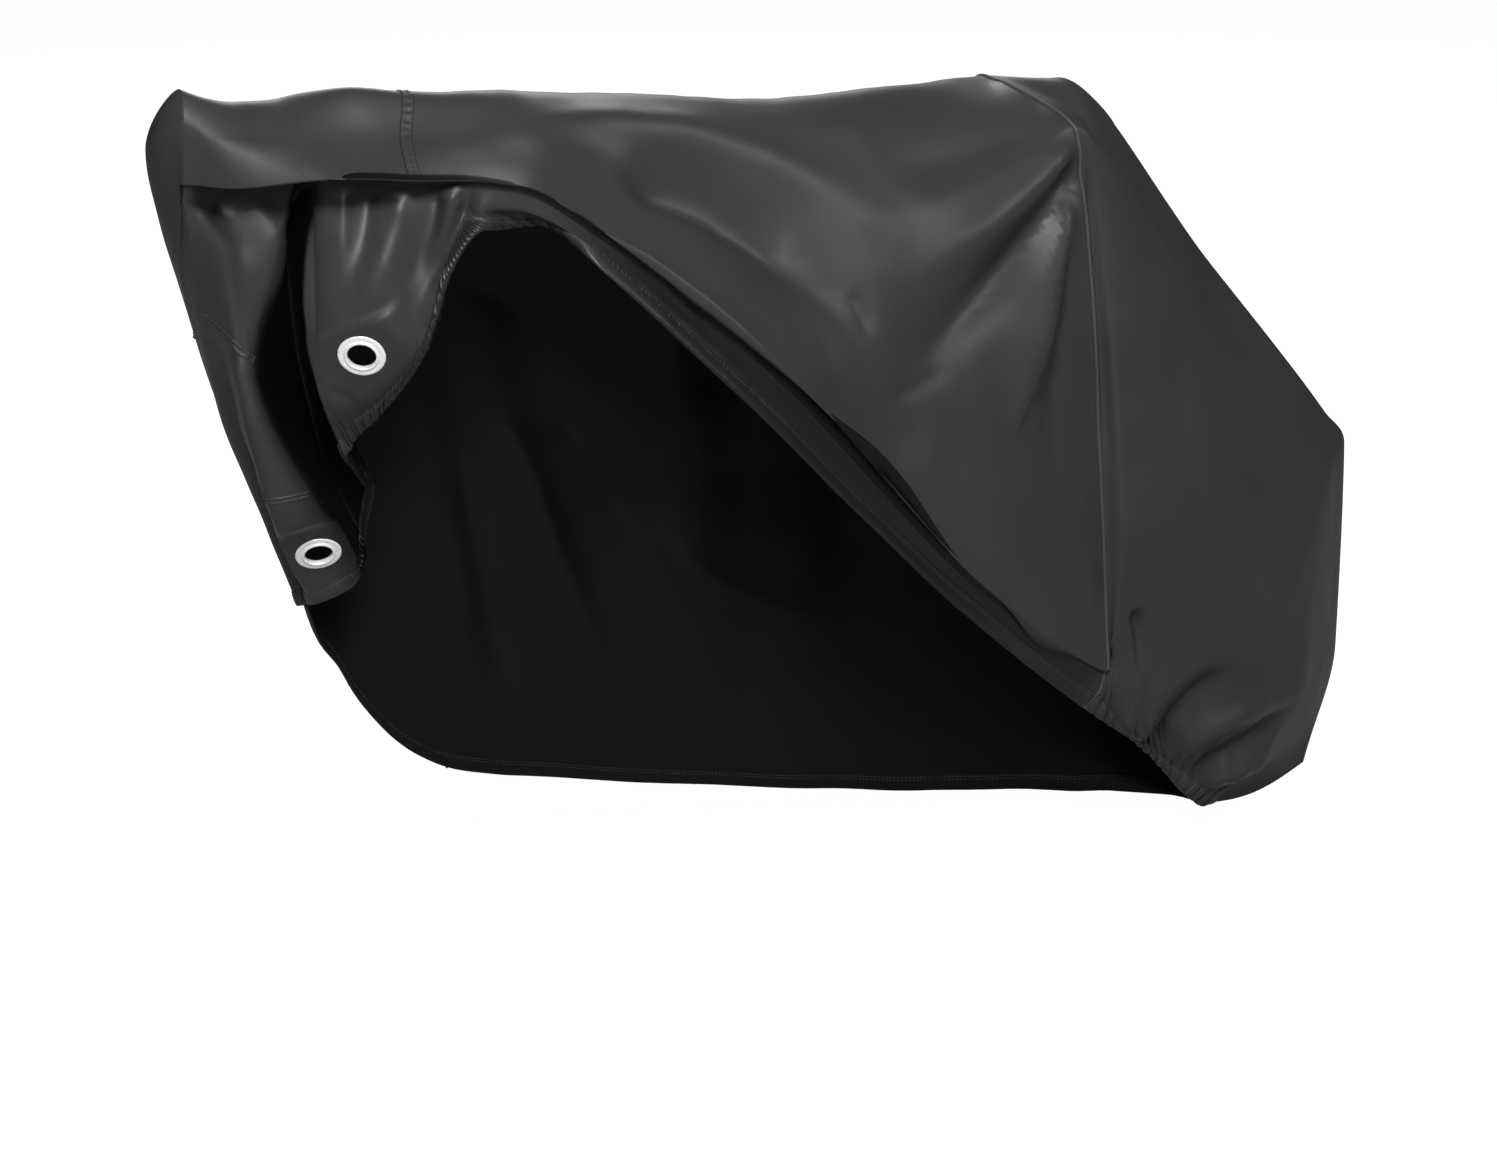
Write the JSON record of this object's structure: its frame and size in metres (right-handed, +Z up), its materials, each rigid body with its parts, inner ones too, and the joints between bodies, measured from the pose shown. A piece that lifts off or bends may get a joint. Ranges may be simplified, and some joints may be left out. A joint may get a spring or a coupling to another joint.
{
  "type": "bicycle cover",
  "caption": "Fitted bicycle cover of coated cloth as it hangs over a bicycle, its near side lifted and rolled up; metal eyelets sit in the strips at its front hem.",
  "frame": {"origin": "centre of the footprint at the lowest point of the hem", "axes": "+X towards the tail, -X towards the nose, -Y towards the lifted near side, +Z up"},
  "size_m": [1.568, 0.4926, 1.057],
  "materials": {
    "coated_cloth": "satin coated weave, black",
    "eyelet_metal": "bright"
  },
  "bodies": {
    "root": {"front_panel": "coated_cloth", "nose_panel": "coated_cloth", "middle_panel": "coated_cloth", "rear_panel": "coated_cloth", "near_eyelet_strip": "coated_cloth", "far_eyelet_strip": "coated_cloth", "near_eyelet": "eyelet_metal", "far_eyelet": "eyelet_metal"}
  },
  "joints": []
}
